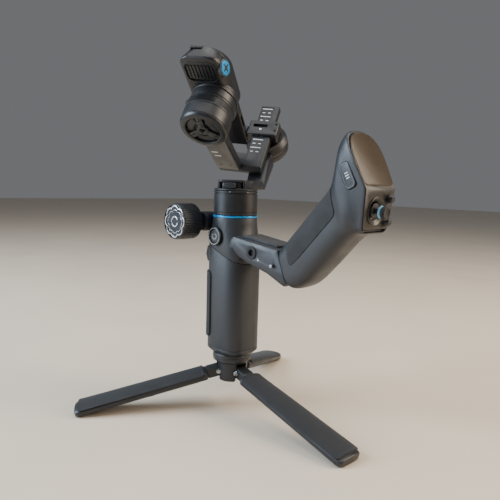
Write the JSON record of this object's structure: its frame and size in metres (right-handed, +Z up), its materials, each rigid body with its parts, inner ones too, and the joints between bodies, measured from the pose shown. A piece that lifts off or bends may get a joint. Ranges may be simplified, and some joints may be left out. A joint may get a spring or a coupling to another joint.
{
  "type": "gimbal stabilizer",
  "caption": "Hand-held camera gimbal with motorised pan, roll and tilt arms, a rear sling grip with screen and joystick, a hand wheel and a folding mini tripod.",
  "frame": {"origin": "centre of the bounding box on the floor plane under the tripod legs", "axes": "+Z up along the handle, +X towards the rear sling grip, -Y towards the side with the mode button and the hand wheel"},
  "size_m": [0.2806, 0.2932, 0.3706],
  "materials": {
    "body_black": "fine satin moulding",
    "leg_black": "fine satin moulding",
    "motor_black": "black anodised",
    "grey_metal": "dark grey anodised",
    "face_black": "satin",
    "rubber": "matt",
    "blue_metal": "blue anodised",
    "pale_blue": "satin",
    "silver_metal": "satin",
    "screen_glass": "polished",
    "winding_copper": "enamelled copper wire",
    "board_green": "solder mask",
    "cell_wrap": "plastic sleeve over a metal can",
    "steel": "turned"
  },
  "bodies": {
    "handle": {"tripod_hub": "leg_black", "tripod_stud": "steel", "leg_pin_1": "steel", "leg_pin_2": "steel", "leg_pin_3": "steel", "handle_end_cap": "body_black", "handle_shell": "body_black", "front_grip_panel": "rubber", "battery_cell_1": "cell_wrap", "battery_cell_2": "cell_wrap", "head_shell": "body_black", "accent_ring": "blue_metal", "mode_button_ring": "grey_metal", "port_ring": "rubber", "strap_pin": "steel", "arm_pad": "rubber", "main_board": "board_green", "wheel_bracket": "body_black", "grip_shell": "body_black", "grip_pad_left": "rubber", "grip_pad_right": "rubber", "control_shell": "body_black", "control_face": "face_black", "screen": "screen_glass", "pan_stator": "motor_black"},
    "leg_1": {"leg_1": "leg_black", "leg_pad_1": "rubber"},
    "leg_2": {"leg_2": "leg_black", "leg_pad_2": "rubber"},
    "leg_3": {"leg_3": "leg_black", "leg_pad_3": "rubber"},
    "trigger": {"trigger": "grey_metal"},
    "mode_button": {"mode_button": "body_black"},
    "side_button": {"side_button": "body_black"},
    "round_button_upper": {"round_button_upper": "body_black"},
    "round_button_lower": {"round_button_lower": "body_black"},
    "stick_yoke": {"stick_yoke": "body_black"},
    "stick": {"stick_cap": "body_black", "stick_ring": "pale_blue"},
    "wheel": {"wheel_rim": "grey_metal", "wheel_face": "silver_metal"},
    "pan": {"pan_rotor": "motor_black", "pan_shaft": "steel", "pan_arm": "motor_black", "roll_motor_housing": "motor_black"},
    "pan_latch": {"pan_latch": "motor_black"},
    "roll": {"roll_rotor": "motor_black", "roll_clamp": "grey_metal"},
    "roll_clamp_knob": {"roll_clamp_knob": "body_black"},
    "cross_bar": {"cross_bar": "grey_metal", "side_arm": "motor_black", "tilt_motor_cover": "motor_black", "tilt_motor_winding": "winding_copper"},
    "tilt": {"tilt_housing": "motor_black", "tilt_fins": "motor_black", "tilt_housing_back": "motor_black"},
    "camera_rail": {"camera_rail": "grey_metal"},
    "rail_lock_knob": {"rail_lock_knob": "blue_metal"},
    "release_tab": {"release_tab": "silver_metal"},
    "camera_plate": {"camera_plate": "grey_metal"}
  },
  "joints": [
    {"name": "leg_1_fold", "type": "hinge", "parent": "handle", "child": "leg_1", "pos_m": [-0.02587, -0.00298, 0.03949], "axis": [0.0349, 0.9994, 0], "range_deg": [0, 76]},
    {"name": "leg_2_fold", "type": "hinge", "parent": "handle", "child": "leg_2", "pos_m": [-0.0479, 0.01079, 0.03949], "axis": [-0.8829, -0.4695, 0], "range_deg": [0, 76]},
    {"name": "leg_3_fold", "type": "hinge", "parent": "handle", "child": "leg_3", "pos_m": [-0.04881, -0.01518, 0.03949], "axis": [0.848, -0.5299, 0], "range_deg": [0, 76]},
    {"name": "trigger_pull", "type": "hinge", "parent": "handle", "child": "trigger", "pos_m": [-0.06486, -0.00246, 0.17449], "axis": [0, -1, 0], "range_deg": [0, 8], "stiffness_Nm_per_rad": 0.05},
    {"name": "mode_button_press", "type": "slide", "parent": "handle", "child": "mode_button", "axis": [0, 1, 0], "range_m": [0, 0.0008], "stiffness_N_per_m": 400},
    {"name": "side_button_press", "type": "slide", "parent": "handle", "child": "side_button", "axis": [0, 1, 0], "range_m": [0, 0.0008], "stiffness_N_per_m": 400},
    {"name": "round_button_upper_press", "type": "slide", "parent": "handle", "child": "round_button_upper", "axis": [-0.9943, 0, 0.1071], "range_m": [0, 0.0008], "stiffness_N_per_m": 400},
    {"name": "round_button_lower_press", "type": "slide", "parent": "handle", "child": "round_button_lower", "axis": [-0.9943, 0, 0.1071], "range_m": [0, 0.0008], "stiffness_N_per_m": 400},
    {"name": "stick_up_down", "type": "hinge", "parent": "handle", "child": "stick_yoke", "pos_m": [0.12776, -0.00445, 0.2196], "axis": [0, 1, 0], "range_deg": [-8, 8], "stiffness_Nm_per_rad": 0.02},
    {"name": "stick_side_to_side", "type": "hinge", "parent": "stick_yoke", "child": "stick", "pos_m": [0.12776, -0.00445, 0.2196], "axis": [0.1071, 0, 0.9943], "range_deg": [-8, 8], "stiffness_Nm_per_rad": 0.02},
    {"name": "wheel_turn", "type": "hinge", "parent": "handle", "child": "wheel", "pos_m": [-0.08286, -0.03846, 0.19749], "axis": [0, -1, 0], "continuous": true},
    {"name": "pan_turn", "type": "hinge", "parent": "handle", "child": "pan", "pos_m": [-0.04086, -0.00246, 0.23649], "axis": [0, 0, 1], "range_deg": [-95, 215]},
    {"name": "pan_latch_slide", "type": "slide", "parent": "pan", "child": "pan_latch", "axis": [0.8536, 0.521, 0], "range_m": [0, 0.004]},
    {"name": "roll_turn", "type": "hinge", "parent": "pan", "child": "roll", "pos_m": [-0.04086, -0.00246, 0.38669], "axis": [0.4278, -0.7009, 0.5707], "range_deg": [-80, 180]},
    {"name": "roll_clamp_knob_turn", "type": "hinge", "parent": "roll", "child": "roll_clamp_knob", "pos_m": [-0.12419, 0.08822, 0.30558], "axis": [0.8785, 0.471, -0.0801], "range_deg": [0, 270]},
    {"name": "cross_bar_slide", "type": "slide", "parent": "roll", "child": "cross_bar", "axis": [0.2126, -0.5357, -0.8172], "range_m": [-0.026, 0.008]},
    {"name": "tilt_turn", "type": "hinge", "parent": "cross_bar", "child": "tilt", "pos_m": [-0.05697, -0.02244, 0.31728], "axis": [0.2126, -0.5357, -0.8172], "range_deg": [-115, 115]},
    {"name": "camera_rail_slide", "type": "slide", "parent": "tilt", "child": "camera_rail", "axis": [0.4278, -0.7009, 0.5707], "range_m": [-0.008, 0.04]},
    {"name": "rail_lock_knob_turn", "type": "hinge", "parent": "tilt", "child": "rail_lock_knob", "pos_m": [-0.0281, -0.03183, 0.34771], "axis": [0.9728, 0.2306, -0.0221], "range_deg": [0, 270]},
    {"name": "release_tab_push", "type": "slide", "parent": "tilt", "child": "release_tab", "axis": [-0.4278, 0.7009, -0.5707], "range_m": [0, 0.002], "stiffness_N_per_m": 300},
    {"name": "camera_plate_slide", "type": "slide", "parent": "tilt", "child": "camera_plate", "axis": [0.4278, -0.7009, 0.5707], "range_m": [-0.012, 0.012]}
  ]
}
